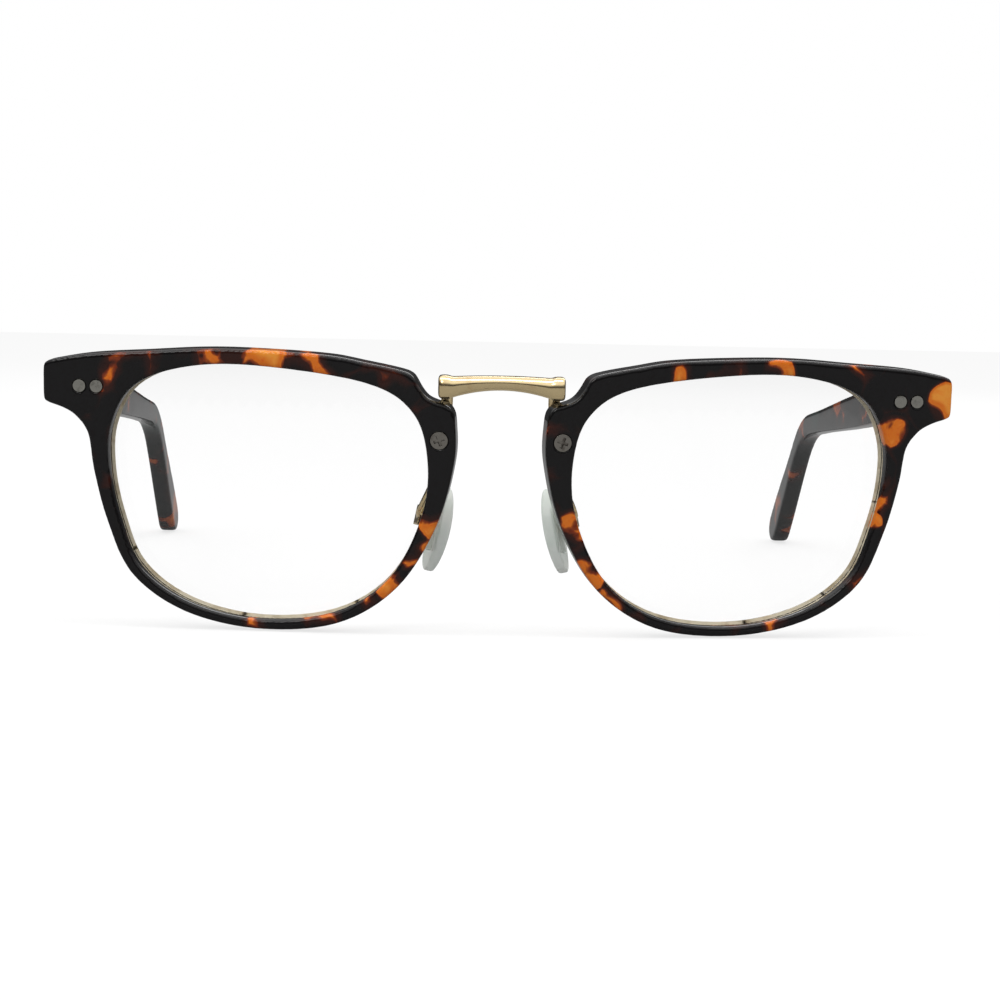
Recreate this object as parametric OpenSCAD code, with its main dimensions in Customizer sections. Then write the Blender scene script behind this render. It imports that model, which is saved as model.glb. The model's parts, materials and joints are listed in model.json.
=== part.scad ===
// Folding spectacles: two plastic rims joined by a metal bridge, with lenses, nose pads and temples.
// The sides are the wearer's: left is at +X. The front looks towards -Y and +Z is up.
// The glasses stand open on a table, on both rims and both temple tips, with the table at z = 0.

/* [Lens opening] */
// Width of the opening in each rim
opening_w = 49; // [42:0.5:56]
// Height of the opening in each rim
opening_h = 39.2; // [32:0.2:44]
// Distance between the two openings across the nose
bridge_gap = 22; // [20:0.5:26]
// Height of the datum line above the middle of the opening
datum_rise = 16.5; // [12:0.5:18]

/* [Rims] */
// Thickness of each rim from its front to its back
rim_depth = 4.8; // [4:0.1:6]
// Width of the rim's face below the lens
lower_face = 1.5; // [1.2:0.1:3]
// Width of the rim's face beside the temple
side_face = 2.4; // [1.8:0.1:4]
// Width of the rim's face beside the nose, at the bridge screw
nasal_face = 4.1; // [3.9:0.1:5]
// Width of the brow above the lens
brow_face = 2.4; // [2:0.1:5]
// Drop of the brow line from its top to the step at the nose
brow_drop = 3.2; // [2.6:0.1:3.6]
// Distance from the lens opening out to the end of the front
endpiece_w = 10; // [9.5:0.1:14]
// Height of the endpiece's top above the datum line
endpiece_top = 2.9; // [2.6:0.1:3.4]
// Height of the endpiece at its outer edge
endpiece_h = 6.2; // [6:0.1:8]
// Thickness of the endpiece at the hinge
endpiece_depth = 8.2; // [7.8:0.1:10]
// Depth of the shelf under the bridge, below the datum line
shelf_drop = 1.8; // [1.4:0.1:2.4]
// Width of the step from the nose edge over the shelf to the brow
shelf_w = 6.7; // [6.3:0.1:7.5]
// Angle that each rim turns back towards the temple
wrap_angle = 5.5; // [4:0.5:8]
// Forward lean of the top of the front, against the hinge pins
front_tilt = 9; // [6:0.5:11]

/* [Lenses] */
// Thickness of each lens
lens_t = 1.8; // [1.4:0.1:2.2]
// Radius of the lens's curved front
lens_radius = 150; // [130:5:300]
// Depth of the groove that holds the lens
groove_depth = 0.5; // [0.3:0.05:0.7]
// Width of the rim's lip behind the sides of the lens
back_lip = 0.6; // [0.5:0.1:0.8]
// Clearance round the lens in its groove
lens_clearance = 0.03; // [0.02:0.01:0.06]

/* [Bridge] */
// Overall width of the bridge over its end caps
bridge_w = 19; // [18:0.2:20]
// Height of the bridge's top above the datum line
bridge_top = 2.4; // [2:0.1:3]
// Height of the bridge bar in its middle
bar_h = 1.9; // [1.5:0.1:2.2]
// Rise of the arch under the bar
arch_rise = 1.3; // [0.6:0.1:1.6]
// Depth of the bar from front to back
bar_depth = 2.8; // [2.4:0.1:3.4]
// Width of each end cap and leg
leg_w = 1.7; // [1.4:0.1:2.2]
// Height of each end cap
cap_h = 3.3; // [3:0.1:3.4]
// Thickness of the plates behind the rims
plate_t = 1; // [0.8:0.1:1.4]
// Width of the plates behind the rims
plate_w = 3.4; // [3.2:0.1:3.6]
// Height of the plates behind the rims
plate_h = 6; // [5:0.2:7]

/* [Bridge screws] */
// Distance from the middle of the front to each bridge screw
bridge_screw_x = 9.4; // [9.2:0.1:9.8]
// Depth of the bridge screws below the datum line
bridge_screw_drop = 7.4; // [6.4:0.1:8.4]
// Diameter of the bridge screws' heads
bridge_head_d = 2.66; // [2.4:0.02:3]
// Diameter of the bridge screws' shanks
bridge_shank_d = 1.4; // [1.2:0.1:1.6]
// Height of the bridge screws' heads
bridge_head_h = 1; // [0.8:0.1:1.4]

/* [Hinges] */
// Distance from the end of the front in to each hinge pin
hinge_inset = 5.1; // [4.8:0.1:5.4]
// Height of the hinge's middle above the datum line
hinge_rise = 1.7; // [1.4:0.1:2]
// Overall height of the three knuckles
hinge_h = 5.4; // [4.8:0.1:6]
// Outer diameter of the knuckles
knuckle_d = 2.4; // [2.2:0.1:2.6]
// Thickness of the hinge leaves
leaf_t = 0.8; // [0.6:0.1:1]
// Length of the leaf on the endpiece
front_leaf_l = 5.6; // [5.4:0.1:6]
// Length of the leaf on the temple
temple_leaf_l = 5.8; // [5.4:0.1:7]
// Diameter of the hinge screws' shanks
hinge_pin_d = 1.3; // [1.1:0.1:1.4]
// Diameter of the hinge screws' heads
hinge_head_d = 2.1; // [1.8:0.1:2.3]
// Height of the hinge screws' heads
hinge_head_h = 0.7; // [0.5:0.1:0.8]
// Radial clearance of the moving knuckle on its pin
pin_clearance = 0.05; // [0.02:0.01:0.08]
// Gap between neighbouring knuckles
knuckle_gap = 0.06; // [0.04:0.01:0.1]
// Gap between the open temple and the endpiece
butt_gap = 0.15; // [0.1:0.05:0.3]

/* [Rivets] */
// Diameter of the rivets
rivet_d = 1.9; // [1.6:0.1:2.2]
// Distance between the two rivets on each endpiece
front_rivet_pitch = 2.6; // [2.4:0.05:2.8]
// Depth of the front rivets below the datum line
rivet_drop = 0.7; // [0.5:0.1:0.9]
// Distance between the two rivets on each temple
temple_rivet_pitch = 2.6; // [2.3:0.1:3]
// Height of the rivet heads above the plastic
rivet_proud = 0.12; // [0.05:0.01:0.3]
// Radial clearance of fixed pins in their holes
fixed_clearance = 0.02; // [0.01:0.01:0.04]

/* [Temples] */
// Thickness of the temples
temple_t = 3.5; // [3.2:0.1:4]
// Length of the straight part of each temple
temple_straight = 95; // [88:1:104]
// Height of the temple at the hinge
temple_h = 6.2; // [5.8:0.1:7]
// Height of the temple at its bend
bend_h = 4.2; // [3.8:0.1:5.4]
// Height of the temple near its tip
tip_h = 6.9; // [6:0.1:8]
// Radius of the bend over the ear
bend_radius = 32; // [26:1:40]
// Angle of the bend over the ear
bend_angle = 31; // [26:1:38]
// Length of the temple behind the bend
tip_length = 35.3; // [30:0.5:40]
// Length of the tip's rounding, above and below its end
tip_round_above = 3.6; // [3:0.1:5]
tip_round_below = 6.6; // [5:0.1:9]
// Height of the tip's end above the middle of the temple
tip_end_rise = 1.1; // [0:0.1:2]
// Height of the temple's middle above the hinge's middle
temple_rise = 0.45; // [0.3:0.05:0.6]
// Angle at which the temple runs down from the hinge
temple_droop = 1.2; // [0:0.1:2.5]

/* [Nose pads] */
// Length of each nose pad
pad_l = 13.5; // [12:0.5:15]
// Width of each nose pad
pad_w = 7.5; // [6.5:0.5:9]
// Thickness of each nose pad
pad_t = 2.2; // [2:0.1:3]
// Radius of the pad's domed face
pad_dome = 30; // [20:1:40]
// Distance from the middle of the front to the middle of each pad
pad_x = 10; // [9.9:0.1:11]
// Depth of the pads' middle below the datum line
pad_drop = 20.5; // [19:0.5:22]
// Distance from the front of the bridge back to the pads' middle
pad_back = 15; // [14.5:0.5:17]
// Angle of each pad as seen from the front
pad_frontal = 12; // [9:1:15]
// Angle of each pad as seen from above
pad_splay = 14; // [10:1:18]
// Height of the pad's tab above the middle of the pad
tab_rise = 1.5; // [0:0.1:2]
// Diameter of the pad arms' wire
arm_d = 1.1; // [0.9:0.1:1.3]
// Diameter of the pad screws
pad_screw_d = 0.9; // [0.7:0.1:1]
// Length of the box that holds the pad's tab
box_l = 3.2; // [2.8:0.1:3.6]
// Width of the box that holds the pad's tab
box_w = 2.6; // [2.4:0.1:3]
// Thickness of the pad's tab
tab_t = 1; // [0.8:0.1:1.1]

/* [Hidden] */

$fn = 48;
eps = 0.01;

// Opening in the rim, as shares of its half width and half height, from the top towards the temple
opening_shape = [
    [0.10, 1.00], [0.55, 0.965], [0.85, 0.805], [0.985, 0.50], [0.995, 0.15],
    [0.93, -0.23], [0.80, -0.61], [0.50, -0.875], [0.06, -0.995], [-0.42, -0.925],
    [-0.76, -0.645], [-0.955, -0.17], [-0.995, 0.27], [-0.90, 0.665], [-0.60, 0.89]
];
// First and last point of the opening that the lower rim follows, and how far each takes its
// face width from the side and from the nose
lower_first = 4;
side_share = [1, 0.55, 0.28, 0.11, 0, 0, 0, 0, 0];
nasal_share = [0, 0, 0, 0, 0, 0.08, 0.14, 0.44, 1];
// Points of the drawn curves between two given points
curve_steps = 6;

opening_x = bridge_gap / 2 + opening_w / 2;
opening_z = -datum_rise;
opening_top = opening_z + opening_h / 2;

// A closed smooth curve through the given points
function between(a, b, c, d, t) =
    0.5 * (2 * b + (c - a) * t + (2 * a - 5 * b + 4 * c - d) * t * t
    + (3 * b - a - 3 * c + d) * t * t * t);
function smooth(p) = let(n = len(p)) [
    for (i = [0 : n - 1], k = [0 : curve_steps - 1])
        between(p[(i + n - 1) % n], p[i], p[(i + 1) % n], p[(i + 2) % n], k / curve_steps)
];
// Outward direction of a clockwise outline at one of its points
function outward(p, i) = let(n = len(p), d = p[(i + 1) % n] - p[(i + n - 1) % n])
    [-d[1], d[0]] / norm(d);
function grown(p, by) = [for (i = [0 : len(p) - 1]) p[i] + by * outward(p, i)];

opening_points = [
    for (p = opening_shape) [opening_x + p[0] * opening_w / 2, opening_z + p[1] * opening_h / 2]
];
opening_outline = smooth(opening_points);
lens_outline = grown(opening_outline, groove_depth);

// Lower rim, from the temple side round below the lens to the bridge screw
lower_rim = [
    for (k = [0 : len(side_share) - 1])
        let(i = lower_first + k,
            face = lower_face + side_share[k] * (side_face - lower_face)
                + nasal_share[k] * (nasal_face - lower_face))
        opening_points[i] + face * outward(opening_points, i)
];
// Nasal edge, shelf under the bridge and the step up to the brow
nose_edge = bridge_gap / 2 - nasal_face;
brow_z = opening_top + brow_face;
step_foot = -shelf_drop;
step_rise = brow_z - brow_drop - step_foot;
step_shape = [
    [0.015, -0.79], [0.08, -0.26], [0.21, -0.06], [0.43, 0.045], [0.67, 0.22], [0.85, 0.6], [1, 1]
];
nasal_upper = [for (s = step_shape) [nose_edge + s[0] * shelf_w, step_foot + s[1] * step_rise]];
// Brow line, as shares of the opening's half width and of the brow's drop
brow_shape = [[-0.815, 0.76], [-0.6, 0.45], [-0.35, 0.15], [0.12, 0], [0.43, 0.02], [0.755, 0.2]];
brow = [for (s = brow_shape) [opening_x + s[0] * opening_w / 2, brow_z - s[1] * brow_drop]];
// Endpiece corner and the flare below it, as shares of the endpiece's width and height
opening_end = opening_x + opening_w / 2;
end_x = opening_end + endpiece_w;
end_shape = [
    [0.75, 0.22], [0.2, 0.07], [0.05, 0], [0.005, -0.1], [0, -0.5],
    [0.005, -0.9], [0.05, -1], [0.33, -1.16], [0.52, -1.37]
];
endpiece = concat(
    [for (s = end_shape) [end_x - s[0] * endpiece_w, endpiece_top + s[1] * endpiece_h]],
    [[opening_end + side_face * 1.3, endpiece_top - 1.79 * endpiece_h]]
);
rim_outline = smooth(concat(lower_rim, nasal_upper, brow, endpiece));

// Places along the hinge: the butt face of the endpiece and the pin behind it
knuckle_r = knuckle_d / 2;
leaf_gap = 0.2;
pin_back = leaf_t + leaf_gap + knuckle_r;
hinge_x = end_x * cos(wrap_angle) - hinge_inset;
butt_y = hinge_x * sin(wrap_angle) + endpiece_depth;
pin_y = butt_y + pin_back;
// Distance from the pin out to the temple's inner face, and the leaf's reach past the pin
temple_inset = 1;
leaf_reach = 0.6;
rivet_inset = 1.8;
knuckle_h = (hinge_h - 2 * knuckle_gap) / 3;
notch_r = knuckle_r + 0.35;
leaf_start = knuckle_r + 0.4;
temple_leaf_h = hinge_h - 0.8;
block_inset = 0.4;
block_h = 1.2 * endpiece_h;

// Temple seen from the side, as [distance behind the pin, height above it]. It is lowest in
// height along the bend, and its height eases from there to the hinge and to the tip
straight_steps = 8;
bend_steps = 10;
tip_steps = 8;
end_steps = 10;
tip_run = tip_length - tip_round_below;
ease_from = 0.45;
function eased(t) = t < 0 ? 0 : t > 1 ? 1 : t * t * (3 - 2 * t);
function heading(a) = [cos(a), -sin(a)];
function square_to(a) = [sin(a), cos(a)];
function on_bend(a) = [temple_straight + bend_radius * sin(a), temple_rise - bend_radius * (1 - cos(a))];
bend_end = on_bend(bend_angle);
bar_start = butt_gap - pin_back;
// Middle line of the temple, as [place, heading, height of the temple]
middle = concat(
    [for (k = [0 : straight_steps - 1]) let(s = k / straight_steps)
        [[bar_start + s * (temple_straight - bar_start), temple_rise], 0,
        temple_h + (bend_h - temple_h) * eased((s - ease_from) / (1 - ease_from))]],
    [for (k = [0 : bend_steps]) let(a = bend_angle * k / bend_steps) [on_bend(a), a, bend_h]],
    [for (k = [1 : tip_steps]) let(s = k / tip_steps)
        [bend_end + s * tip_run * heading(bend_angle), bend_angle, bend_h + (tip_h - bend_h) * eased(s)]]
);
function on_tip(p) = bend_end + p[0] * heading(bend_angle) + p[1] * square_to(bend_angle);
temple_edge = concat(
    [for (m = middle) m[0] + m[2] / 2 * square_to(m[1])],
    [for (k = [0 : end_steps]) let(a = 90 * k / end_steps)
        on_tip([tip_length - tip_round_above * (1 - sin(a)), tip_end_rise + (tip_h / 2 - tip_end_rise) * cos(a)])],
    [for (k = [1 : end_steps - 1]) let(a = 90 * k / end_steps)
        on_tip([tip_length - tip_round_below * (1 - cos(a)), tip_end_rise - (tip_h / 2 + tip_end_rise) * sin(a)])],
    [for (i = [len(middle) - 1 : -1 : 0]) middle[i][0] - middle[i][2] / 2 * square_to(middle[i][1])]
);
temple_profile = [for (p = temple_edge) [p[0], p[1] - (p[0] - bar_start) * tan(temple_droop)]];

// A point of a rim, as [across, back, up] in the rim's own plane, on the upright glasses
function leaned(p) =
    [p[0], p[1] * cos(front_tilt) - p[2] * sin(front_tilt), p[1] * sin(front_tilt) + p[2] * cos(front_tilt)];
function wrapped(p) =
    [p[0] * cos(wrap_angle) - p[1] * sin(wrap_angle), p[0] * sin(wrap_angle) + p[1] * cos(wrap_angle), p[2]];
function on_rim_point(p) = leaned(wrapped(p));

// Bridge: the bar between the caps, and the plates behind the rims
bar_half = bridge_w / 2 - leg_w;
bar_front = 0.1;
bar_steps = 16;
crown = 0.25;
cap_proud = 0.12;
leg_h = 1.8;
leg_bottom = bridge_top - cap_h + 0.1;
seat_gap = 0.05;
plate_front = rim_depth + seat_gap;
plate_back = plate_front + plate_t;
recess_w = 0.45;
recess_l = 1.7;
recess_depth = 0.6;

// Side views, as [back, up], from which the glasses are set down on the table
rim_side = [for (p = rim_outline) let(q = on_rim_point([p[0], 0, p[1]])) [q[1], q[2]]];
temple_side = [for (p = temple_profile) [pin_y + p[0], hinge_rise + p[1]]];
bar_side = let(q = leaned([0, bar_front - cap_proud, bridge_top])) [q[1], q[2]];
function turned(p, a) = [p[0] * cos(a) + p[1] * sin(a), p[1] * cos(a) - p[0] * sin(a)];
function heights(points, a) = [for (p = points) turned(p, a)[1]];
function lowest(points, a) = let(z = heights(points, a)) points[search(min(z), z)[0]];
function settled(a, rounds) = rounds == 0 ? a
    : let(r = lowest(rim_side, a), t = lowest(temple_side, a))
        settled(atan2(t[1] - r[1], t[0] - r[0]), rounds - 1);
stand_angle = settled(0, 4);
stand_z = -min(heights(rim_side, stand_angle));
foremost = turned(bar_side, stand_angle)[0];
stand_y = -(max([for (p = temple_side) turned(p, stand_angle)[0]]) + foremost) / 2;

// Depth of the lens's curved front at its middle, with the rim's lip behind the lens's sides
lens_sag = lens_radius - sqrt(pow(lens_radius, 2) - pow(opening_w / 2 + groove_depth, 2));
lens_front = rim_depth - back_lip - lens_t - lens_sag;

// Nose pads: the tab's pin, the box round the tab and the route of the arm to it
tab_l = 2;
tab_r = 1.1;
tab_pin = tab_l - tab_r;
tab_side_gap = 0.12;
box_gap = 0.4;
box_wall = 0.7;
box_back = tab_l + 0.25 + box_wall;
core_t = 0.8;
core_l = 7;
core_w = 3.4;
pad_head_d = 1.6;
pad_head_h = 0.4;
oval_steps = 40;
pad_oval = [
    for (k = [0 : oval_steps - 1]) let(a = 360 * k / oval_steps)
        [pad_w / 2 * cos(a), pad_l / 2 * sin(a)]
];
foot_d = 2;
foot_h = 0.6;
arm_bow = 3;
arm_steps = 12;
arm_sides = 10;
function tipped(p) =
    [p[0] * cos(pad_frontal) - p[2] * sin(pad_frontal), p[1], p[0] * sin(pad_frontal) + p[2] * cos(pad_frontal)];
function splayed(p) =
    [p[0] * cos(pad_splay) + p[1] * sin(pad_splay), p[1] * cos(pad_splay) - p[0] * sin(pad_splay), p[2]];
function on_pad_point(p) = [pad_x, pad_back, -pad_drop] + splayed(tipped(p));
foot_place = [bridge_screw_x, plate_back + foot_h / 2, -bridge_screw_drop - plate_h / 2 + 1];
arm_start = on_rim_point(foot_place);
arm_end = on_pad_point([box_back - box_wall / 2, 0, tab_rise]);
arm_out = arm_end + [arm_bow / 10, -arm_bow, arm_bow / 4];
arm_down = arm_start + [0, arm_bow, -1.3 * arm_bow];
function bezier(a, b, c, d, t) =
    pow(1 - t, 3) * a + 3 * t * pow(1 - t, 2) * b + 3 * t * t * (1 - t) * c + pow(t, 3) * d;
arm_route = [
    for (k = [0 : arm_steps]) bezier(arm_start, arm_down, arm_out, arm_end, k / arm_steps)
];

// Places and mirrors one side's piece: the pieces are drawn on the upright glasses, at +X
module stand() translate([0, stand_y, stand_z]) rotate([-stand_angle, 0, 0]) children();
module left() stand() children();
module right() stand() mirror([1, 0, 0]) children();
module on_front() rotate([front_tilt, 0, 0]) children();
module on_rim() on_front() rotate([0, 0, wrap_angle]) children();
module on_pad() translate([pad_x, pad_back, -pad_drop])
    rotate([0, 0, -pad_splay]) rotate([0, -pad_frontal, 0]) children();
module at_pin() translate([hinge_x, pin_y, hinge_rise]) children();

// A flat shape seen from the front, from one depth to another
module slab(points, from, to)
    translate([0, to, 0]) rotate([90, 0, 0]) linear_extrude(to - from) polygon(points);
// A round bar along Y
module bar_y(d, from, to)
    translate([0, from, 0]) rotate([-90, 0, 0]) cylinder(d = d, h = to - from);

module lens_body(extra) intersection() {
    slab(grown(lens_outline, extra), lens_front - 1, rim_depth - 0.2);
    difference() {
        translate([opening_x, lens_front - extra + lens_radius, opening_z])
            sphere(lens_radius, $fn = 360);
        translate([opening_x, lens_front + lens_t + extra + lens_radius, opening_z])
            sphere(lens_radius, $fn = 360);
    }
}

// The endpiece block, thick enough to carry the hinge and square to the open temple
module endpiece_block() {
    inner = hinge_x + leaf_reach - front_leaf_l - block_inset;
    intersection() {
        on_rim() intersection() {
            slab(rim_outline, 0, 2 * endpiece_depth);
            translate([0, 0, endpiece_top - block_h]) cube([2 * end_x, 2 * endpiece_depth, 2 * block_h]);
        }
        translate([0, 0, -4 * endpiece_h]) linear_extrude(8 * endpiece_h)
            polygon([[inner - 2, 0], [inner - 2, butt_y - endpiece_depth + rim_depth],
                [inner, butt_y], [2 * end_x, butt_y], [2 * end_x, 0]]);
    }
}
// The front rivets run straight back, square to the lean of the front
module front_rivet_places() on_front() for (k = [-0.5, 0.5])
    translate([hinge_x - rivet_inset + k * front_rivet_pitch, 0, -rivet_drop]) children();
module bridge_screw_place() translate([bridge_screw_x, 0, -bridge_screw_drop]) children();

module rim() color("#3b1d12") difference() {
    union() {
        on_rim() slab(rim_outline, 0, rim_depth);
        endpiece_block();
    }
    on_rim() {
        slab(opening_outline, -1, 3 * rim_depth);
        lens_body(lens_clearance);
        bridge_screw_place() {
            bar_y(bridge_shank_d + 2 * fixed_clearance, -1, rim_depth + 1);
            bar_y(bridge_head_d + 2 * fixed_clearance, -1, bridge_head_h);
        }
    }
    front_rivet_places() bar_y(rivet_d + 2 * fixed_clearance, 0, 2 * butt_y);
}

module lens() color("#e8efec", 0.35) on_rim() lens_body(0);

module bridge() color("#d9b35c") {
    bar_points = concat(
        [for (k = [0 : bar_steps]) let(s = 2 * k / bar_steps - 1)
            [s * (bar_half + eps), bridge_top - crown * s * s]],
        [for (k = [bar_steps : -1 : 0]) let(s = 2 * k / bar_steps - 1)
            [s * (bar_half + eps), bridge_top - bar_h - arch_rise * s * s]]
    );
    on_front() slab(bar_points, bar_front, bar_front + bar_depth);
    bridge_side();
    mirror([1, 0, 0]) bridge_side();
}
module bridge_side() difference() {
    union() {
        on_front() {
            translate([bar_half, bar_front - cap_proud, bridge_top - cap_h])
                cube([leg_w, bar_depth + 2 * cap_proud, cap_h]);
            translate([bar_half, bar_front + bar_depth / 2, leg_bottom])
                cube([leg_w, plate_back - bar_depth / 2, leg_h]);
        }
        on_rim() {
            slab([[bar_half + 0.1, leg_bottom + leg_h], [bar_half + leg_w + 0.1, leg_bottom + leg_h],
                [bar_half + leg_w + 0.1, -bridge_screw_drop], [bar_half + 0.1, -bridge_screw_drop]],
                plate_front, plate_back);
            translate([bridge_screw_x - plate_w / 2, plate_front, -bridge_screw_drop - plate_h / 2])
                cube([plate_w, plate_t, plate_h]);
        }
    }
    on_rim() bridge_screw_place() bar_y(bridge_shank_d + 2 * fixed_clearance, plate_front - 1, plate_back + 1);
}

module bridge_screw() color("#8d9091") on_rim() bridge_screw_place() difference() {
    union() {
        bar_y(bridge_shank_d, bridge_head_h / 2, plate_back);
        bar_y(bridge_head_d, -seat_gap, bridge_head_h - fixed_clearance);
    }
    for (a = [20, 110]) rotate([0, a, 0])
        translate([-recess_l / 2, -1, -recess_w / 2]) cube([recess_l, 1 + recess_depth, recess_w]);
}

module front_hinge() color("#b9bcbe") difference() {
    translate([hinge_x, butt_y, hinge_rise]) {
        translate([leaf_reach - front_leaf_l, 0, -hinge_h / 2]) cube([front_leaf_l, leaf_t, hinge_h]);
        for (k = [-1, 1]) translate([0, 0, k * (hinge_h - knuckle_h) / 2]) {
            translate([0, pin_back, 0]) cylinder(r = knuckle_r, h = knuckle_h, center = true);
            translate([-knuckle_r, leaf_t / 2, -knuckle_h / 2])
                cube([knuckle_r, pin_back - leaf_t / 2, knuckle_h]);
        }
    }
    at_pin() cylinder(d = hinge_pin_d + 2 * fixed_clearance, h = 2 * hinge_h, center = true);
    front_rivet_places() bar_y(rivet_d + 2 * fixed_clearance, 0, 2 * butt_y);
}

module front_rivets() color("#a9acae") difference() {
    front_rivet_places() bar_y(rivet_d, 0, 2 * butt_y);
    on_rim() translate([0, -endpiece_depth - rivet_proud, -endpiece_h])
        cube([2 * end_x, endpiece_depth, 2 * endpiece_h]);
    translate([0, butt_y + leaf_t, -2 * endpiece_h]) cube([2 * end_x, 2 * butt_y, 4 * endpiece_h]);
}

module hinge_screw() color("#c4c6c8") at_pin() difference() {
    union() {
        translate([0, 0, -hinge_h / 2]) cylinder(d = hinge_pin_d, h = hinge_h + eps);
        translate([0, 0, hinge_h / 2]) cylinder(d = hinge_head_d, h = hinge_head_h);
    }
    translate([-hinge_head_d, -0.15, hinge_h / 2 + hinge_head_h / 2])
        cube([2 * hinge_head_d, 0.3, hinge_head_h]);
}

module temple_rivet_places() for (k = [-0.5, 0.5])
    translate([0, leaf_start + temple_leaf_l / 2 + k * temple_rivet_pitch, 0]) children();

module temple() color("#3b1d12") at_pin() difference() {
    translate([temple_inset, 0, 0]) rotate([90, 0, 90]) linear_extrude(temple_t) polygon(temple_profile);
    translate([0, 0, -hinge_h]) cylinder(r = notch_r, h = 2 * hinge_h);
    temple_rivet_places() rotate([0, 90, 0])
        cylinder(d = rivet_d + 2 * fixed_clearance, h = temple_inset + temple_t + 1);
}

module temple_hinge() color("#b9bcbe") at_pin() difference() {
    union() {
        translate([temple_inset - leaf_t, leaf_start, -temple_leaf_h / 2])
            cube([leaf_t, temple_leaf_l, temple_leaf_h]);
        cylinder(r = knuckle_r, h = knuckle_h, center = true);
        translate([temple_inset - leaf_t, 0, -knuckle_h / 2]) cube([leaf_t, leaf_start + eps, knuckle_h]);
    }
    cylinder(d = hinge_pin_d + 2 * pin_clearance, h = 2 * hinge_h, center = true);
    temple_rivet_places() rotate([0, 90, 0])
        cylinder(d = rivet_d + 2 * fixed_clearance, h = temple_inset + 1);
}

module temple_rivets() color("#a9acae") at_pin() temple_rivet_places()
    translate([temple_inset - leaf_t, 0, 0]) rotate([0, 90, 0])
        cylinder(d = rivet_d, h = leaf_t + temple_t + rivet_proud);

// A round wire along a route, with its ends square to the first and last stretch
function unit(v) = v / norm(v);
function along(p, i) = unit(p[min(i + 1, len(p) - 1)] - p[max(i - 1, 0)]);
module wire(route, d) {
    n = len(route);
    rings = [
        for (i = [0 : n - 1]) let(t = along(route, i), u = unit(cross(t, [1, 0, 0])), v = cross(t, u))
            for (k = [0 : arm_sides - 1]) let(a = 360 * k / arm_sides)
                route[i] + d / 2 * (cos(a) * u + sin(a) * v)
    ];
    sides = [
        for (i = [0 : n - 2], k = [0 : arm_sides - 1]) let(
            a = i * arm_sides + k, b = i * arm_sides + (k + 1) % arm_sides)
            each [[a, a + arm_sides, b], [b, a + arm_sides, b + arm_sides]]
    ];
    first = [for (k = [1 : arm_sides - 2]) [0, k, k + 1]];
    last_ring = (n - 1) * arm_sides;
    last = [for (k = [1 : arm_sides - 2]) [last_ring, last_ring + k + 1, last_ring + k]];
    polyhedron(rings, concat(sides, first, last));
}

module pad_arm() color("#d9b35c") {
    difference() {
        union() {
            wire(arm_route, arm_d);
            on_rim() translate([foot_place[0], 0, foot_place[2]])
                bar_y(foot_d, plate_back, plate_back + foot_h);
            on_pad() translate([box_gap, -box_w / 2, tab_rise - box_l / 2])
                cube([box_back - box_gap, box_w, box_l]);
        }
        on_pad() translate([-eps, -tab_t / 2 - tab_side_gap, tab_rise - box_l])
            cube([box_back - box_wall, tab_t + 2 * tab_side_gap, 2 * box_l]);
        on_pad() translate([tab_pin, 0, tab_rise])
            bar_y(pad_screw_d + 2 * fixed_clearance, -box_w, box_w);
    }
}

module pad_screw() color("#c4c6c8") on_pad() translate([tab_pin, 0, tab_rise]) difference() {
    union() {
        bar_y(pad_screw_d, -box_w / 2 - eps, box_w / 2);
        bar_y(pad_head_d, -box_w / 2 - pad_head_h, -box_w / 2);
    }
    translate([-pad_head_d, -box_w / 2 - pad_head_h - 1, -0.1])
        cube([2 * pad_head_d, 1 + pad_head_h / 2, 0.2]);
}

module core_body(extra) {
    translate([-core_t - extra, -core_w / 2 - extra, -core_l / 2 - extra])
        cube([core_t + extra, core_w + 2 * extra, core_l + 2 * extra]);
}
module pad_core() color("#dfe3dd") on_pad() difference() {
    union() {
        core_body(0);
        translate([-eps, -tab_t / 2, tab_rise - tab_r]) cube([tab_pin + eps, tab_t, 2 * tab_r]);
        translate([tab_pin, 0, tab_rise]) bar_y(2 * tab_r, -tab_t / 2, tab_t / 2);
    }
    translate([tab_pin, 0, tab_rise]) bar_y(pad_screw_d + 2 * pin_clearance, -box_w, box_w);
}

module nose_pad() color("#d3e0d6", 0.8) on_pad() difference() {
    intersection() {
        translate([-pad_t, 0, 0]) rotate([90, 0, 90]) linear_extrude(pad_t) polygon(pad_oval);
        translate([pad_dome - pad_t, 0, 0]) sphere(pad_dome, $fn = 160);
    }
    core_body(fixed_clearance);
    translate([-fixed_clearance, -core_w / 2, -core_l / 2]) cube([1, core_w, core_l]);
}

left() rim();  // rim_left
right() rim();  // rim_right
left() lens();  // lens_left
right() lens();  // lens_right
stand() bridge();
left() bridge_screw();  // bridge_screw_left
right() bridge_screw();  // bridge_screw_right
left() front_hinge();  // front_hinge_left
right() front_hinge();  // front_hinge_right
left() front_rivets();  // front_rivets_left
right() front_rivets();  // front_rivets_right
left() hinge_screw();  // hinge_screw_left
right() hinge_screw();  // hinge_screw_right
left() temple();  // temple_left
right() temple();  // temple_right
left() temple_hinge();  // temple_hinge_left
right() temple_hinge();  // temple_hinge_right
left() temple_rivets();  // temple_rivets_left
right() temple_rivets();  // temple_rivets_right
left() pad_arm();  // pad_arm_left
right() pad_arm();  // pad_arm_right
left() pad_screw();  // pad_screw_left
right() pad_screw();  // pad_screw_right
left() pad_core();  // pad_core_left
right() pad_core();  // pad_core_right
left() nose_pad();  // nose_pad_left
right() nose_pad();  // nose_pad_right
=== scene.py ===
# Folding tortoiseshell glasses with a gold bridge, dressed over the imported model
import bpy
import json
import math
from mathutils import Euler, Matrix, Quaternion, Vector
from mathutils.kdtree import KDTree

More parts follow.
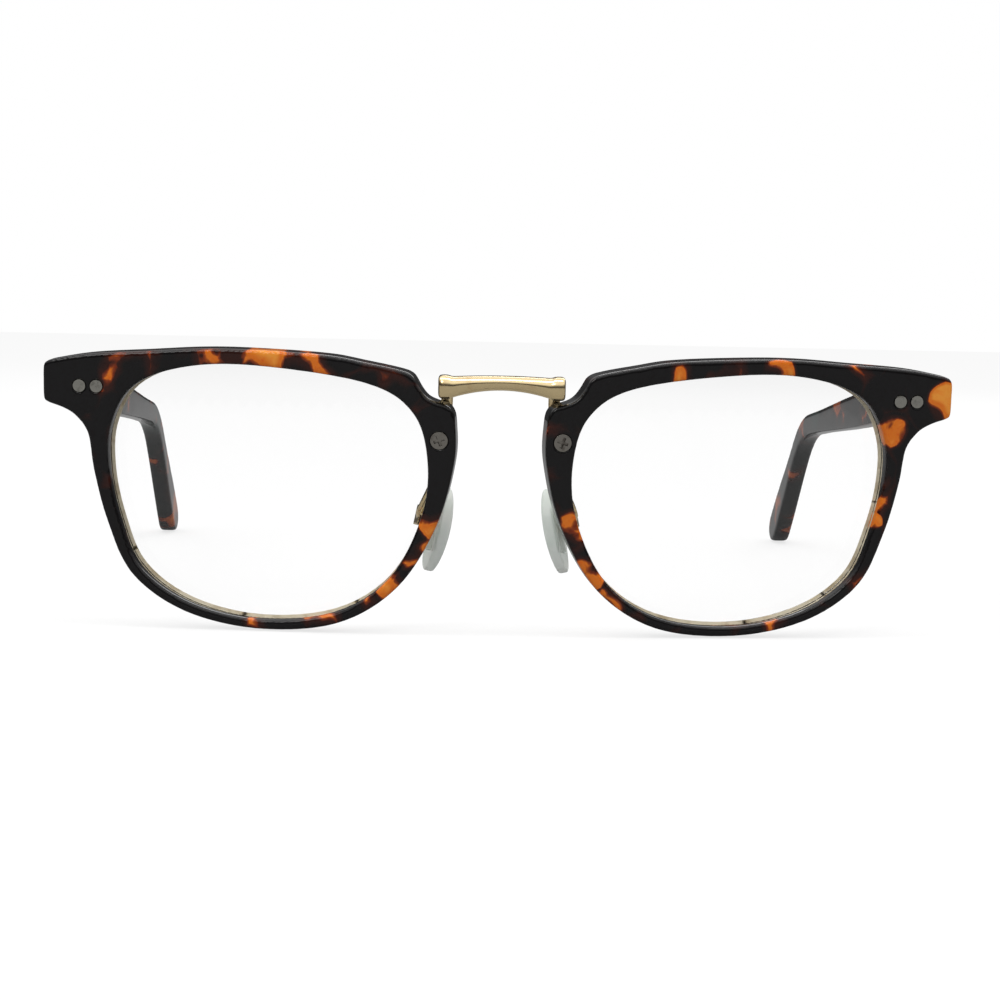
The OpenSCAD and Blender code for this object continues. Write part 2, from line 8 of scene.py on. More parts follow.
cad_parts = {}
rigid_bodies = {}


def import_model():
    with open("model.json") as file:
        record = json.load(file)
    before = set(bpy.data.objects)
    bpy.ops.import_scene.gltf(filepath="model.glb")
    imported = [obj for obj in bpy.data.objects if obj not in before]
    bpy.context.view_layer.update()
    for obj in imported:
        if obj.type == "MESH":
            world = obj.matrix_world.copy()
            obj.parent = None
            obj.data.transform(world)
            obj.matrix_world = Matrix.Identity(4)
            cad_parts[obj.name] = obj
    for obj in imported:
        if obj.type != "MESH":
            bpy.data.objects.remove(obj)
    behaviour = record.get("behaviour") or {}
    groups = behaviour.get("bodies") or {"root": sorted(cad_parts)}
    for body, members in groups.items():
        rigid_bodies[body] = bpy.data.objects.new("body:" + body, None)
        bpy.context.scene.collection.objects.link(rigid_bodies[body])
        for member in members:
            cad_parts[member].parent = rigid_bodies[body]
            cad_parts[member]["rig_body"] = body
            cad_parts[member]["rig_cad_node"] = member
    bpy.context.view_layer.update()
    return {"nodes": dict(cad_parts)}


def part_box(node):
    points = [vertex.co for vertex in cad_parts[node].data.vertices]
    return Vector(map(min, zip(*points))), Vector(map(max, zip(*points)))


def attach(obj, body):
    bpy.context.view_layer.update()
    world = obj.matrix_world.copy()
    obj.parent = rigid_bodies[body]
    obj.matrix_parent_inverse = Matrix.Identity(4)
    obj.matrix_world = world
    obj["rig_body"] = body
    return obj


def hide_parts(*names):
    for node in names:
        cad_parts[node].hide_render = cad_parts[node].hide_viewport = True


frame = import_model()
print("frame loaded:", len(frame["nodes"]), "nodes")


# A socket of a node tree, so that mask maths reads as maths
class Wire:
    def __init__(self, tree, socket=None):
        self.tree = tree
        self.socket = socket

    def add(self, kind, settings=None, sockets=None, out=0):
        node = self.tree.nodes.new(kind)
        for name, value in (settings or {}).items():
            setattr(node, name, value)
        for name, value in (sockets or {}).items():
            if isinstance(value, Wire):
                self.tree.links.new(value.socket, node.inputs[name])
            else:
                node.inputs[name].default_value = value
        return Wire(self.tree, node.outputs[out]) if node.outputs else None

    def maths(self, operation, first, second, clamp=False):
        settings = {"operation": operation, "use_clamp": clamp}
        return self.add("ShaderNodeMath", settings, {0: first, 1: second})

    def __add__(self, other):
        return self.maths("ADD", self, other)

    def __radd__(self, other):
        return self.maths("ADD", other, self)

    def __sub__(self, other):
        return self.maths("SUBTRACT", self, other)

    def __rsub__(self, other):
        return self.maths("SUBTRACT", other, self)

    def __mul__(self, other):
        return self.maths("MULTIPLY", self, other)

    def __rmul__(self, other):
        return self.maths("MULTIPLY", other, self)

    def clamped(self):
        return self.maths("ADD", self, 0.0, clamp=True)

    def step(self, low, high):  # 0 below low, 1 above high, smooth between
        return self.add("ShaderNodeMapRange", {"interpolation_type": "SMOOTHSTEP"},
                        {"Value": self, "From Min": low, "From Max": high})


def mixColour(wire, factor, first, second, blend="MIX"):
    return wire.add("ShaderNodeMix", {"data_type": "RGBA", "blend_type": blend},
                    {0: factor, 6: first, 7: second}, out=2)


def noise(wire, vector, scale, detail=2.0, roughness=0.5, out=0):
    return wire.add("ShaderNodeTexNoise", None,
                    {"Vector": vector, "Scale": scale, "Detail": detail,
                     "Roughness": roughness}, out)


def objectPlace(wire):
    return wire.add("ShaderNodeTexCoord", out="Object")


def newMaterial(name):
    material = bpy.data.materials.new(name)
    material.use_nodes = True
    material.node_tree.nodes.clear()
    return material, Wire(material.node_tree)


def finishMaterial(material, wire, sockets):
    shader = wire.add("ShaderNodeBsdfPrincipled", None, sockets)
    wire.add("ShaderNodeOutputMaterial", None, {"Surface": shader})
    return material


def bump(wire, height, strength, distance):
    return wire.add("ShaderNodeBump", None,
                    {"Height": height, "Strength": strength, "Distance": distance})


tortoise = {
    "dark": (0.0075, 0.0070, 0.0075, 1.0),
    "deepBrown": (0.040, 0.0105, 0.0070, 1.0),
    "redBrown": (0.235, 0.040, 0.010, 1.0),
    "teal": (0.006, 0.034, 0.027, 1.0),
    "blobScale": 185.0,   # cells to the metre
    "level": 0.885,       # higher is darker
    "swirlScale": 130.0,
    "drift": 0.0065,      # how far the swirl moves the cells, in metres
    "raggedScale": 520.0,
    "raggedness": 0.22,
    "bands": {            # where each colour comes in and is full, from the level
        "deepBrown": (-0.30, -0.04),
        "redBrown": (-0.07, 0.0),
        "amber": (-0.01, 0.05),
        "honey": (0.12, 0.34),
    },
    "grainScale": 1500.0,
    "grain": 0.5,
    "tealShare": 0.85,
    "roughness": 0.07,
    "handlingScale": 160.0,
    "handling": 0.06,
    "waveScale": 90.0,
    "rubScale": 2600.0,
    "rub": 0.01,
    "waveHeight": 0.0002,
    "specular": 0.3,
}
frontColours = {"amber": (0.78, 0.19, 0.016, 1.0), "honey": (0.93, 0.35, 0.048, 1.0)}
armColours = {"amber": (0.40, 0.090, 0.020, 1.0), "honey": (0.62, 0.17, 0.030, 1.0)}

# Where amber gathers on the front: x, z and radius in millimetres, and how strongly
rimPatches = [
    (-69.5, 36.0, 1.6, 0.20), (-59.0, 29.0, 2.5, 0.16),
    (-44.0, 40.5, 7.0, 0.26), (-33.0, 40.5, 9.0, 0.32), (-17.0, 37.0, 4.0, 0.16),
    (-9.5, 29.0, 3.0, 0.14), (-10.5, 18.0, 3.4, 0.30), (-12.0, 11.5, 3.6, 0.34),
    (-16.0, 7.0, 3.4, 0.32), (-20.5, 4.0, 3.2, 0.32), (-26.0, 1.0, 4.5, 0.30),
    (29.0, 39.5, 4.0, 0.36), (42.0, 40.6, 3.4, 0.42), (68.6, 36.7, 4.0, 0.60),
    (60.6, 32.3, 3.0, 0.40), (59.0, 25.0, 2.0, 0.26), (58.3, 18.3, 1.6, 0.34),
    (12.0, 17.5, 3.4, 0.36), (13.6, 9.6, 3.6, 0.36), (17.0, 5.0, 3.4, 0.34),
]
# Where the front stays dark
darkPatches = [(-65.5, 37.0, 5.5, 0.5), (-57.0, 34.5, 4.5, 0.22), (50.0, 37.0, 6.0, 0.10)]
# Where amber gathers on each temple: y, z and radius, and how strongly
leftArmPatches = [(-50.0, 37.0, 4.0, 0.22), (-30.0, 36.0, 5.0, 0.20), (2.0, 35.0, 5.0, 0.16),
                  (40.0, 27.0, 6.0, 0.22), (66.0, 8.0, 6.0, 0.25), (78.0, 3.0, 4.0, 0.34)]
rightArmPatches = [(-45.0, 37.0, 7.0, 0.33), (-31.0, 36.0, 4.0, 0.26), (10.0, 35.0, 6.0, 0.18),
                   (48.0, 23.0, 5.0, 0.18), (55.0, 17.0, 4.5, 0.22), (72.0, 4.5, 6.5, 0.30)]
# Where teal shows on each temple
leftTeal = [(-41.0, 38.0, 6.0), (25.0, 33.0, 7.0)]
rightTeal = [(-14.0, 36.0, 9.0), (38.0, 30.0, 9.0), (20.0, 35.0, 6.0)]


def nearPlaces(wire, axes, places):  # the strongest of the places at each point
    total = None
    for first, second, radius, pull in places:
        across = (axes[0] - first / 1000) * (1000 / radius)
        along = (axes[1] - second / 1000) * (1000 / radius)
        share = (1 - (across * across + along * along).step(0.25, 1.0)) * pull
        total = share if total is None else wire.maths("MAXIMUM", total, share)
    return total


def tortoiseMaterial(name, along, colours, amber, dark=None, teal=None):
    material, wire = newMaterial(name)
    place = objectPlace(wire)
    split = [wire.add("ShaderNodeSeparateXYZ", None, {"Vector": place}, out=axis)
             for axis in (along, "Z")]
    swirl = noise(wire, place, tortoise["swirlScale"], 2.0, out="Color")
    centred = wire.add("ShaderNodeVectorMath", {"operation": "SUBTRACT"},
                       {0: swirl, 1: (0.5, 0.5, 0.5)})
    shift = wire.add("ShaderNodeVectorMath", {"operation": "SCALE"},
                     {0: centred, "Scale": tortoise["drift"]})
    drifted = wire.add("ShaderNodeVectorMath", {"operation": "ADD"}, {0: place, 1: shift})
    blobs = wire.add("ShaderNodeTexVoronoi", {"feature": "F1"},
                     {"Vector": drifted, "Scale": tortoise["blobScale"]}, out="Distance")
    ragged = noise(wire, drifted, tortoise["raggedScale"], 2.0, 0.55)
    field = blobs + tortoise["raggedness"] * (ragged - 0.5) + nearPlaces(wire, split, amber)
    if dark:
        field = field - nearPlaces(wire, split, dark)

    def band(name):
        low, high = tortoise["bands"][name]
        return field.step(tortoise["level"] + low, tortoise["level"] + high)

    colour = mixColour(wire, band("deepBrown"), tortoise["dark"], tortoise["deepBrown"])
    if teal:
        tealMask = nearPlaces(wire, split, [(*spot, tortoise["tealShare"]) for spot in teal])
        colour = mixColour(wire, tealMask * ragged.step(0.30, 0.55), colour, tortoise["teal"])
    colour = mixColour(wire, band("redBrown"), colour, tortoise["redBrown"])
    colour = mixColour(wire, band("amber"), colour, colours["amber"])
    colour = mixColour(wire, band("honey"), colour, colours["honey"])
    grain = noise(wire, drifted, tortoise["grainScale"], 3.0, 0.6)
    colour = mixColour(wire, tortoise["grain"] * grain.step(0.45, 0.8), colour,
                       tortoise["redBrown"], "SOFT_LIGHT")
    handling = noise(wire, place, tortoise["handlingScale"], 3.0)
    wave = noise(wire, place, tortoise["waveScale"], 1.0)
    rub = noise(wire, place, tortoise["rubScale"], 2.0)
    return finishMaterial(material, wire, {
        "Base Color": colour,
        "Roughness": tortoise["roughness"] + tortoise["handling"] * (handling - 0.4),
        "Normal": bump(wire, wave + tortoise["rub"] * rub, 0.2, tortoise["waveHeight"]),
        "IOR": 1.5,
        "Specular IOR Level": tortoise["specular"],
    })


# The lens is clear, with a mirror that grows towards its grazing edges
lensLook = {"mirror": (0.96, 0.98, 0.975, 1.0), "roughness": 0.02, "share": 0.8,
            "straightOn": 0.04, "smearScale": 55.0, "smears": 0.004, "smearRoughness": 0.05}


def lensMaterial():
    material, wire = newMaterial("clear_lens_plastic")
    place = objectPlace(wire)
    facing = wire.add("ShaderNodeLayerWeight", None, {"Blend": 0.5}, out="Facing")
    glance = lensLook["straightOn"] + (1 - lensLook["straightOn"]) * (
        facing * facing * facing * facing * facing)
    smear = noise(wire, place, lensLook["smearScale"], 3.0).step(0.52, 0.75)
    clear = wire.add("ShaderNodeBsdfTransparent")
    polish = wire.add("ShaderNodeBsdfPrincipled", None, {
        "Base Color": lensLook["mirror"],
        "Metallic": 1.0,
        "Roughness": lensLook["roughness"] + lensLook["smearRoughness"] * smear,
    })
    both = wire.add("ShaderNodeMixShader", None,
                    {0: lensLook["share"] * glance + lensLook["smears"] * smear,
                     1: clear, 2: polish})
    wire.add("ShaderNodeOutputMaterial", None, {"Surface": both})
    return material


edgeLook = {"cream": (0.86, 0.78, 0.60, 1.0), "shade": (0.60, 0.50, 0.34, 1.0),
            "cutScale": 420.0, "roughness": 0.45, "cutHeight": 0.00005}


def lensEdgeMaterial():
    material, wire = newMaterial("ground_lens_edge")
    place = objectPlace(wire)
    cut = noise(wire, place, edgeLook["cutScale"], 3.0)
    colour = mixColour(wire, cut.step(0.42, 0.7), edgeLook["cream"], edgeLook["shade"])
    return finishMaterial(material, wire, {
        "Base Color": colour,
        "Roughness": edgeLook["roughness"] + 0.2 * cut,
        "Normal": bump(wire, cut, 0.2, edgeLook["cutHeight"]),
    })


# What all the metals share
metal = {"fineScale": 5200.0, "cloudy": 0.12, "fine": 0.04, "height": 0.00002}


def metalMaterial(name, look):
    material, wire = newMaterial(name)
    place = objectPlace(wire)
    cloud = noise(wire, place, look["cloudScale"], 3.0)
    fine = noise(wire, place, metal["fineScale"], 2.0)
    tarnish = cloud.step(0.50, 0.78)
    colour = mixColour(wire, look["tarnish"] * tarnish, look["colour"], look["shade"])
    return finishMaterial(material, wire, {
        "Base Color": colour,
        "Metallic": 1.0,
        "Roughness": look["roughness"] + metal["cloudy"] * (cloud - 0.5) + metal["fine"] * fine,
        "Normal": bump(wire, 0.7 * fine + 0.3 * cloud, look["bump"], metal["height"]),
    })


goldLook = {"colour": (0.93, 0.74, 0.42, 1.0), "shade": (0.62, 0.38, 0.17, 1.0),
            "tarnish": 0.5, "roughness": 0.13, "bump": 0.15, "cloudScale": 320.0}
steelLook = {"colour": (0.50, 0.48, 0.45, 1.0), "shade": (0.20, 0.17, 0.15, 1.0),
             "tarnish": 0.8, "roughness": 0.20, "bump": 0.25, "cloudScale": 600.0}
rivetLook = {"colour": (0.42, 0.41, 0.37, 1.0), "shade": (0.15, 0.14, 0.12, 1.0),
             "tarnish": 0.8, "roughness": 0.22, "bump": 0.35, "cloudScale": 900.0}
screwLook = {"colour": (0.30, 0.28, 0.25, 1.0), "shade": (0.10, 0.085, 0.07, 1.0),
             "tarnish": 0.8, "roughness": 0.18, "bump": 0.5, "cloudScale": 900.0}
padLook = {"milk": (0.90, 0.95, 0.91, 1.0), "clear": (0.80, 0.88, 0.82, 1.0),
           "alpha": 0.72, "roughness": 0.32, "cloudScale": 260.0, "gripScale": 1800.0,
           "height": 0.0001}
coreLook = {"colour": (0.70, 0.76, 0.70, 1.0), "shade": (0.50, 0.56, 0.50, 1.0),
            "roughness": 0.3, "cloudScale": 500.0, "height": 0.00005}


def padMaterial():
    material, wire = newMaterial("pad_silicone")
    place = objectPlace(wire)
    cloud = noise(wire, place, padLook["cloudScale"], 2.0)
    grip = noise(wire, place, padLook["gripScale"], 2.0)
    colour = mixColour(wire, cloud.step(0.35, 0.7), padLook["milk"], padLook["clear"])
    return finishMaterial(material, wire, {
        "Base Color": colour,
        "Roughness": padLook["roughness"] + 0.1 * (grip - 0.5),
        "Alpha": padLook["alpha"] + 0.1 * (cloud - 0.5),
        "Normal": bump(wire, 0.4 * grip + cloud, 0.2, padLook["height"]),
        "IOR": 1.41,
    })


def coreMaterial():
    material, wire = newMaterial("pad_insert_plastic")
    place = objectPlace(wire)
    cloud = noise(wire, place, coreLook["cloudScale"], 2.0)
    colour = mixColour(wire, cloud, coreLook["colour"], coreLook["shade"])
    return finishMaterial(material, wire, {
        "Base Color": colour,
        "Roughness": coreLook["roughness"] + 0.15 * cloud,
        "Normal": bump(wire, cloud, 0.1, coreLook["height"]),
    })


looks = {
    "rims": tortoiseMaterial("tortoise_front", "X", frontColours, rimPatches, dark=darkPatches),
    "templeLeft": tortoiseMaterial("tortoise_left_temple", "Y", armColours, leftArmPatches,
                                   teal=leftTeal),
    "templeRight": tortoiseMaterial("tortoise_right_temple", "Y", armColours, rightArmPatches,
                                    teal=rightTeal),
    "lens": lensMaterial(),
    "lensEdge": lensEdgeMaterial(),
    "gold": metalMaterial("bridge_gold", goldLook),
    "steel": metalMaterial("hinge_steel", steelLook),
    "rivet": metalMaterial("rivet_grey", rivetLook),
    "screw": metalMaterial("bridge_screw_grey", screwLook),
    "pad": padMaterial(),
    "core": coreMaterial(),
}
print("materials made:", len(looks))


def only(piece):
    bpy.ops.object.select_all(action="DESELECT")
    piece.select_set(True)
    bpy.context.view_layer.objects.active = piece


def applyModifier(piece, kind, **settings):
    step = piece.modifiers.new(kind.lower(), kind)
    for name, value in settings.items():
        setattr(step, name, value)
    bpy.ops.object.modifier_apply(modifier=step.name)


def mergedCopy(node, name):  # a CAD node's triangles are loose, so its copy is merged
    only(frame["nodes"][node])
    bpy.ops.object.duplicate()
    piece = bpy.context.active_object
    piece.parent = None
    piece.name = piece.data.name = name
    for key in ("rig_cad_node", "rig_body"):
        if key in piece:
            del piece[key]
    bpy.ops.object.mode_set(mode="EDIT")
    bpy.ops.mesh.select_all(action="SELECT")
    bpy.ops.mesh.remove_doubles(threshold=0.000001)
    bpy.ops.object.mode_set(mode="OBJECT")
    return piece


def dress(piece, look, body):
    piece.data.materials.clear()
    piece.data.materials.append(looks[look])
    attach(piece, body)


# The ground edge of the lens shows as a cream line inside the rim
edgeRing = {
    "width": 0.00058,
    "forward": 0.00038,
    "thick": 0.00008,
    "lean": 0.00010,      # how far it sits towards the brow and the nose
    "flat": 0.6,          # faces turned nearer the lens's own way than this are its front and back
}


def lensEdge(side):
    piece = mergedCopy("lens_" + side, "lens_edge_" + side)
    mesh = piece.data
    low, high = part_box("lens_" + side)
    back = Vector(max(mesh.polygons, key=lambda face: face.area).normal)
    back = back if back.y > 0 else -back
    bpy.ops.object.mode_set(mode="EDIT")
    bpy.ops.mesh.select_mode(type="FACE")
    bpy.ops.mesh.select_all(action="DESELECT")
    bpy.ops.object.mode_set(mode="OBJECT")
    for face in mesh.polygons:
        face.select = abs(face.normal.dot(back)) > edgeRing["flat"]
    bpy.ops.object.mode_set(mode="EDIT")
    bpy.ops.mesh.delete(type="FACE")
    bpy.ops.mesh.select_mode(type="EDGE")
    bpy.ops.mesh.select_all(action="SELECT")
    bpy.ops.mesh.region_to_loop()
    bpy.ops.object.mode_set(mode="OBJECT")
    rear = set()
    for edge in mesh.edges:
        if not edge.select:  # an edge across the wall, from the front to the back
            rear.add(max(edge.vertices, key=lambda i: mesh.vertices[i].co.dot(back)))
    for edge in mesh.edges:
        edge.select = edge.select and all(i in rear for i in edge.vertices)
    for vertex in mesh.vertices:
        vertex.select = vertex.index in rear
    for face in mesh.polygons:
        face.select = False
    bpy.ops.object.mode_set(mode="EDIT")
    forward = {"value": (0.0, -edgeRing["forward"], 0.0)}
    bpy.ops.mesh.extrude_edges_move(TRANSFORM_OT_translate=forward)
    shrink = [1 - 2 * edgeRing["width"] / (high[i] - low[i]) for i in (0, 2)]
    bpy.ops.transform.resize(value=(shrink[0], 1.0, shrink[1]),
                             center_override=(low + high) / 2)
    inward = -edgeRing["lean"] if side == "left" else edgeRing["lean"]
    bpy.ops.transform.translate(value=(inward, 0.0, edgeRing["lean"]))
    bpy.ops.object.mode_set(mode="OBJECT")
    applyModifier(piece, "SOLIDIFY", thickness=edgeRing["thick"], offset=0.0)
    bpy.ops.object.shade_smooth_by_angle(angle=0.7)
    dress(piece, "lensEdge", "front")
    print(piece.name, len(mesh.polygons), "faces")


for side in ("left", "right"):
    lensEdge(side)

# Voxel size in metres, rounds of smoothing where share is above 0, and rounds all over.
# Plump makes up for what the smoothing takes off
polish = {
    "lens": {"voxel": 0.00030, "soft": 0, "rounds": 3},
    "rim": {"voxel": 0.00019, "soft": 46, "rounds": 4, "crisp": 0.00035, "full": 0.0010},
    "temple": {"voxel": 0.00020, "soft": 80, "rounds": 6, "crisp": -0.0580, "full": -0.0500},
    "pad": {"voxel": 0.00014, "soft": 26, "rounds": 4},
    "arm": {"voxel": 0.00009, "soft": 16, "rounds": 2},
    "bridge": {"voxel": 0.00010, "soft": 130, "rounds": 3, "crisp": 0.0345, "full": 0.0362,
               "plump": 0.00012},
}
askew = Euler((0.55, 0.42, 0.31)).to_matrix().to_4x4()


def unit(value):  # kept between 0 and 1
    return max(0.0, min(1.0, value))


def eased(value):
    return value * value * (3 - 2 * value)


# Rounds a copy of a CAD node as tumbling and polishing would. Where share(place) is 0 it
# stays crisp
def polished(node, name, look, body, way, share=None):
    piece = mergedCopy(node, name)
    piece.data.transform(askew)  # askew to the voxels, so that no long edge comes out stepped
    applyModifier(piece, "REMESH", mode="VOXEL", voxel_size=way["voxel"], use_smooth_shade=True)
    piece.data.transform(askew.inverted())
    if way["soft"]:
        group = piece.vertex_groups.new(name="soft")
        for vertex in piece.data.vertices:
            group.add([vertex.index], unit(share(vertex.co)) if share else 1.0, "REPLACE")
        if "plump" in way:
            applyModifier(piece, "DISPLACE", strength=way["plump"], mid_level=0.0,
                          vertex_group="soft")
        applyModifier(piece, "SMOOTH", factor=0.5, iterations=way["soft"], vertex_group="soft")
        piece.vertex_groups.clear()
    applyModifier(piece, "SMOOTH", factor=0.5, iterations=way["rounds"])
    dress(piece, look, body)
    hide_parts(node)
    print(name, "polished,", len(piece.data.polygons), "faces")
    return piece


def awayFrom(pieces, crisp, full):  # a share that grows with the distance from some pieces
    places = [vertex.co for piece in pieces for vertex in piece.data.vertices]
    tree = KDTree(len(places))
    for index, place in enumerate(places):
        tree.insert(place, index)
    tree.balance()
    return lambda place: (tree.find(place)[2] - crisp) / (full - crisp)


def alongAxis(axis, crisp, full):  # a share that grows along an axis
    return lambda place: (place[axis] - crisp) / (full - crisp)


# The top of the endpiece block and of the temple's front, drawn down a little as a file would
filed = {
    "block": {"down": 0.0007, "run": 0.0055, "from": 0.0378, "top": 0.0405},
    "temple": {"down": 0.0006, "run": 0.014, "from": 0.0385, "top": 0.0411},
}


def fileBlock(piece, butt):
    way = filed["block"]
    for vertex in piece.data.vertices:
        high = eased(unit((vertex.co.z - way["from"]) / (way["top"] - way["from"])))
        back = unit(1 + (vertex.co.y - butt) / way["run"])
        vertex.co.z -= way["down"] * high * back ** 1.3


def fileTemple(piece, pin):
    way = filed["temple"]
    for vertex in piece.data.vertices:
        high = eased(unit((vertex.co.z - way["from"]) / (way["top"] - way["from"])))
        near = eased(unit(1 - (vertex.co.y - pin) / way["run"]))
        vertex.co.z -= way["down"] * high * near


nodes = frame["nodes"]
for side in ("left", "right"):
    way = polish["rim"]
    lens = polished("lens_" + side, "clear_lens_" + side, "lens", "front",
                    polish["lens"])
    kept = [lens, nodes["front_rivets_" + side], nodes["bridge_screw_" + side]]
    half = polished("rim_" + side, "front_half_" + side, "rims", "front",
                    way, awayFrom(kept, way["crisp"], way["full"]))
    way = polish["temple"]
    arm = polished("temple_" + side, "side_arm_" + side, "temple" + side.title(),
                   side + "_temple", way, alongAxis(1, way["crisp"], way["full"]))
    polished("nose_pad_" + side, "silicone_pad_" + side, "pad", side + "_pad",
             polish["pad"])
    polished("pad_arm_" + side, "gold_pad_arm_" + side, "gold", "front",
             polish["arm"])
    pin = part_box("hinge_screw_" + side)
    fileBlock(half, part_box("front_hinge_" + side)[0].y)
    fileTemple(arm, (pin[0].y + pin[1].y) / 2)
print("endpieces filed")

way = polish["bridge"]
bar = polished("bridge", "gold_bridge", "gold", "front", way,
               alongAxis(2, way["crisp"], way["full"]))
crown = {"back": 0.00085, "bottom": 0.0362, "depth": 0.0030, "thin": 0.0005, "columns": 60}


# Crowns the front of the bar: its upper and lower edges are drawn back
def crownBar(piece):
    mesh = piece.data
    columns, depth = crown["columns"], crown["depth"]
    front = min(vertex.co.y for vertex in mesh.vertices)
    reach = max(abs(vertex.co.x) for vertex in mesh.vertices)
    spans = [[1.0, -1.0] for _ in range(columns + 1)]
    inBar = [vertex for vertex in mesh.vertices
             if vertex.co.z > crown["bottom"] and vertex.co.y < front + depth]
    for vertex in inBar:
        span = spans[int((vertex.co.x + reach) / (2 * reach) * columns)]
        span[0], span[1] = min(span[0], vertex.co.z), max(span[1], vertex.co.z)
    for vertex in inBar:
        at = (vertex.co.x + reach) / (2 * reach) * columns
        column = int(at)
        low, high = spans[column]
        if column < columns:
            share, after = at - column, spans[column + 1]
            low, high = low + share * (after[0] - low), high + share * (after[1] - high)
        offCentre = (2 * vertex.co.z - low - high) / max(high - low, crown["thin"])
        nearFront = max(0.0, 1 - (vertex.co.y - front) / depth)
        vertex.co.y += crown["back"] * min(offCentre * offCentre, 1.2) * nearFront
    only(piece)
    applyModifier(piece, "SMOOTH", factor=0.5, iterations=8)


crownBar(bar)

# Small fittings keep their CAD solids, with their edges broken: look and width of the bevel
fittings = {
    "bridge_screw": ("screw", 0.00008),
    "front_hinge": ("gold", 0.00010),
    "front_rivets": ("rivet", 0.00030),
    "hinge_screw": ("steel", 0.00006),
    "temple_hinge": ("gold", 0.00010),
    "temple_rivets": ("rivet", 0.00008),
    "pad_screw": ("steel", 0.00004),
    "pad_core": ("core", 0.00010),
}
brokenEdge = {"weld": 0.000002, "segments": 4, "angle": math.radians(38)}


def dressFitting(node, look, width):
    for slot in node.material_slots:
        slot.material = looks[look]
    weld = node.modifiers.new("weld", "WELD")
    weld.merge_threshold = brokenEdge["weld"]
    edges = node.modifiers.new("broken edges", "BEVEL")
    edges.width = width
    edges.segments = brokenEdge["segments"]
    edges.limit_method = "ANGLE"
    edges.angle_limit = brokenEdge["angle"]


for start, (look, width) in fittings.items():
    for side in ("left", "right"):
        dressFitting(nodes[start + "_" + side], look, width)
print("fittings dressed:", 2 * len(fittings))


# White room: a pale floor, a white backdrop for the camera, soft lamps
room = {
    "floor": (0.26, 0.26, 0.26, 1.0),
    "floorGlow": 0.75,    # what makes it white to the camera
    "floorMirrored": 0.06,
    "fill": 0.75,         # what lights the object from all round
    "gloss": 0.06,        # what polish reflects near eye level
    "skyFrom": 0.18,      # height at which the bright part of the sky begins
    "skyFull": 0.60,
    "floorSize": 6.0,
    "floorDrop": 0.0002,
}
# Each lamp's place, aim, size, power and colour
lamps = {
    "overhead strip": ((0.0, -0.22, 0.95), (0.0, -0.03, 0.0), (1.1, 0.16), 3.4, (1.0, 1.0, 1.0)),
    "front fill": ((-0.45, -0.9, 0.75), (0.0, -0.06, 0.02), (0.4, 0.4), 2.2, (1.0, 0.99, 0.97)),
    "back strip": ((0.3, 0.85, 0.60), (0.0, 0.0, 0.02), (0.8, 0.14), 1.2, (1.0, 1.0, 1.0)),
}


def rayKinds(wire):
    return [wire.add("ShaderNodeLightPath", out="Is " + kind + " Ray")
            for kind in ("Camera", "Glossy", "Transmission")]


def whiteRoom():
    world = bpy.data.worlds.new("white room")
    bpy.context.scene.world = world
    world.use_nodes = True
    world.node_tree.nodes.clear()
    wire = Wire(world.node_tree)
    isCamera, isGlossy, isThrough = rayKinds(wire)
    sky = wire.add("ShaderNodeTexCoord", out="Generated")
    up = wire.add("ShaderNodeSeparateXYZ", None, {"Vector": sky}, out="Z")
    overhead = up.step(room["skyFrom"], room["skyFull"])
    seen = (isCamera + isThrough).clamped()
    mirrored = isGlossy * (room["gloss"] + (1 - room["gloss"]) * overhead)
    lit = (1 - isGlossy) * room["fill"]
    strength = seen + (1 - seen) * (mirrored + lit)
    light = wire.add("ShaderNodeBackground", None,
                     {"Color": (1.0, 1.0, 1.0, 1.0), "Strength": strength})
    wire.add("ShaderNodeOutputWorld", None, {"Surface": light})


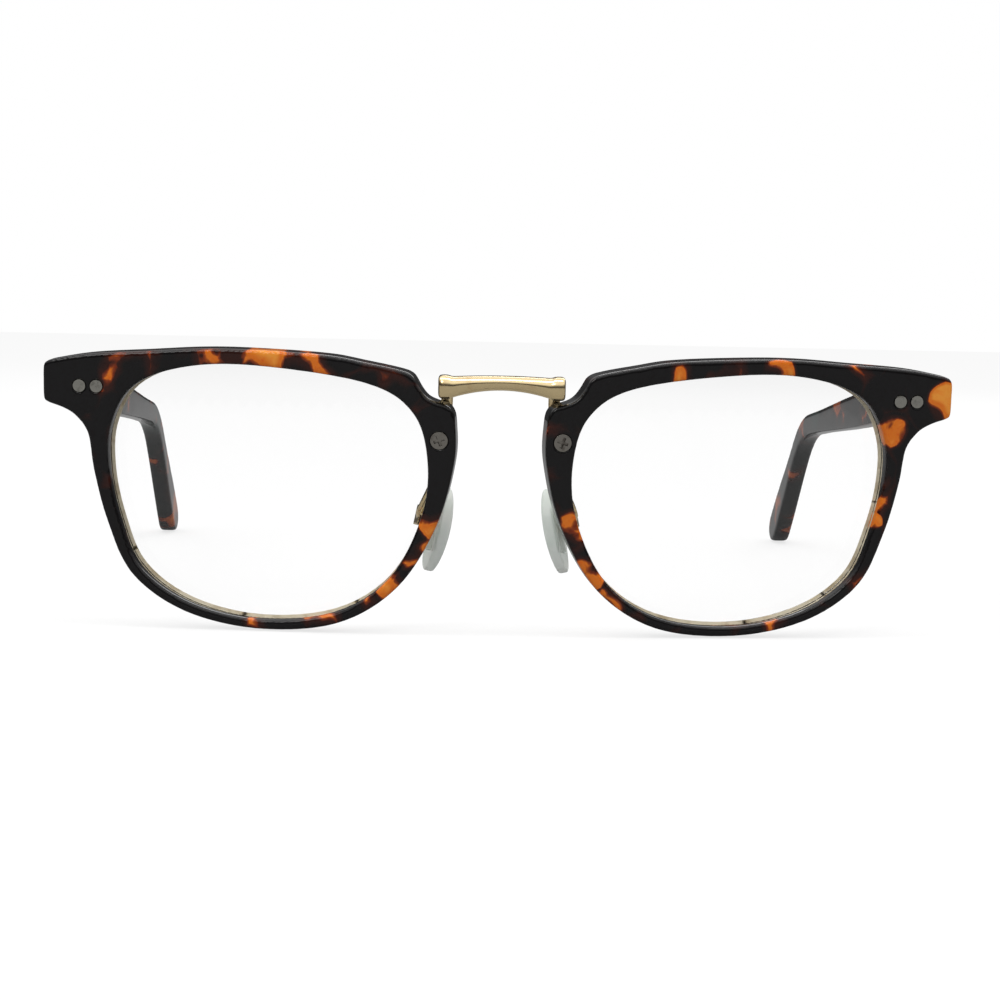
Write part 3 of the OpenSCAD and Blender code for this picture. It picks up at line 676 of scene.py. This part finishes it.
def floorMaterial():
    material, wire = newMaterial("white_table")
    isCamera, isGlossy, isThrough = rayKinds(wire)
    return finishMaterial(material, wire, {
        "Base Color": room["floor"],
        "Roughness": 0.9,
        "Specular IOR Level": 0.0,
        "Emission Color": (1.0, 1.0, 1.0, 1.0),
        "Emission Strength": (isCamera + isThrough).clamped() * room["floorGlow"]
                             + isGlossy * room["floorMirrored"],
    })


def lamp(name, place, aim, size, power, colour):
    bpy.ops.object.light_add(type="AREA", location=place)
    light = bpy.context.active_object
    light.name = name
    light.data.shape = "RECTANGLE"
    light.data.size, light.data.size_y = size
    light.data.energy = power
    light.data.color = colour
    light.rotation_mode = "QUATERNION"
    light.rotation_quaternion = (Vector(aim) - Vector(place)).to_track_quat("-Z", "Y")


whiteRoom()
bpy.ops.object.select_all(action="DESELECT")
bpy.ops.mesh.primitive_plane_add(size=room["floorSize"],
                                 location=(0.0, 0.0, -room["floorDrop"]))
floor = bpy.context.active_object
floor.name = "table"
floor.data.materials.append(floorMaterial())
for name, settings in lamps.items():
    lamp(name, *settings)
print("room lit by", len(lamps), "lamps")

# The photograph's viewpoint: a little above the front, turned slightly to one side
view = {
    "front": (0.0, -0.0780, 0.0212),
    "distance": 0.3312,
    "down": 4.95,
    "yaw": 2.0,
    "roll": 1.2,
    "lens": 79.1,
}


def photoCamera():
    data = bpy.data.cameras.new("photo view")
    camera = bpy.data.objects.new("photo view", data)
    bpy.context.scene.collection.objects.link(camera)
    bpy.context.scene.camera = camera
    data.lens = view["lens"]
    data.sensor_width = 36.0
    data.clip_start = 0.01
    data.clip_end = 20.0
    data.dof.use_dof = False
    down, yaw = math.radians(view["down"]), math.radians(view["yaw"])
    look = Vector((math.sin(yaw) * math.cos(down), math.cos(yaw) * math.cos(down), -math.sin(down)))
    camera.location = Vector(view["front"]) - look * view["distance"]
    camera.rotation_mode = "QUATERNION"
    turn = Quaternion((0.0, 0.0, 1.0), math.radians(view["roll"]))
    camera.rotation_quaternion = look.to_track_quat("-Z", "Y") @ turn


photoCamera()
bpy.context.scene.view_settings.view_transform = "Standard"
print("camera placed")
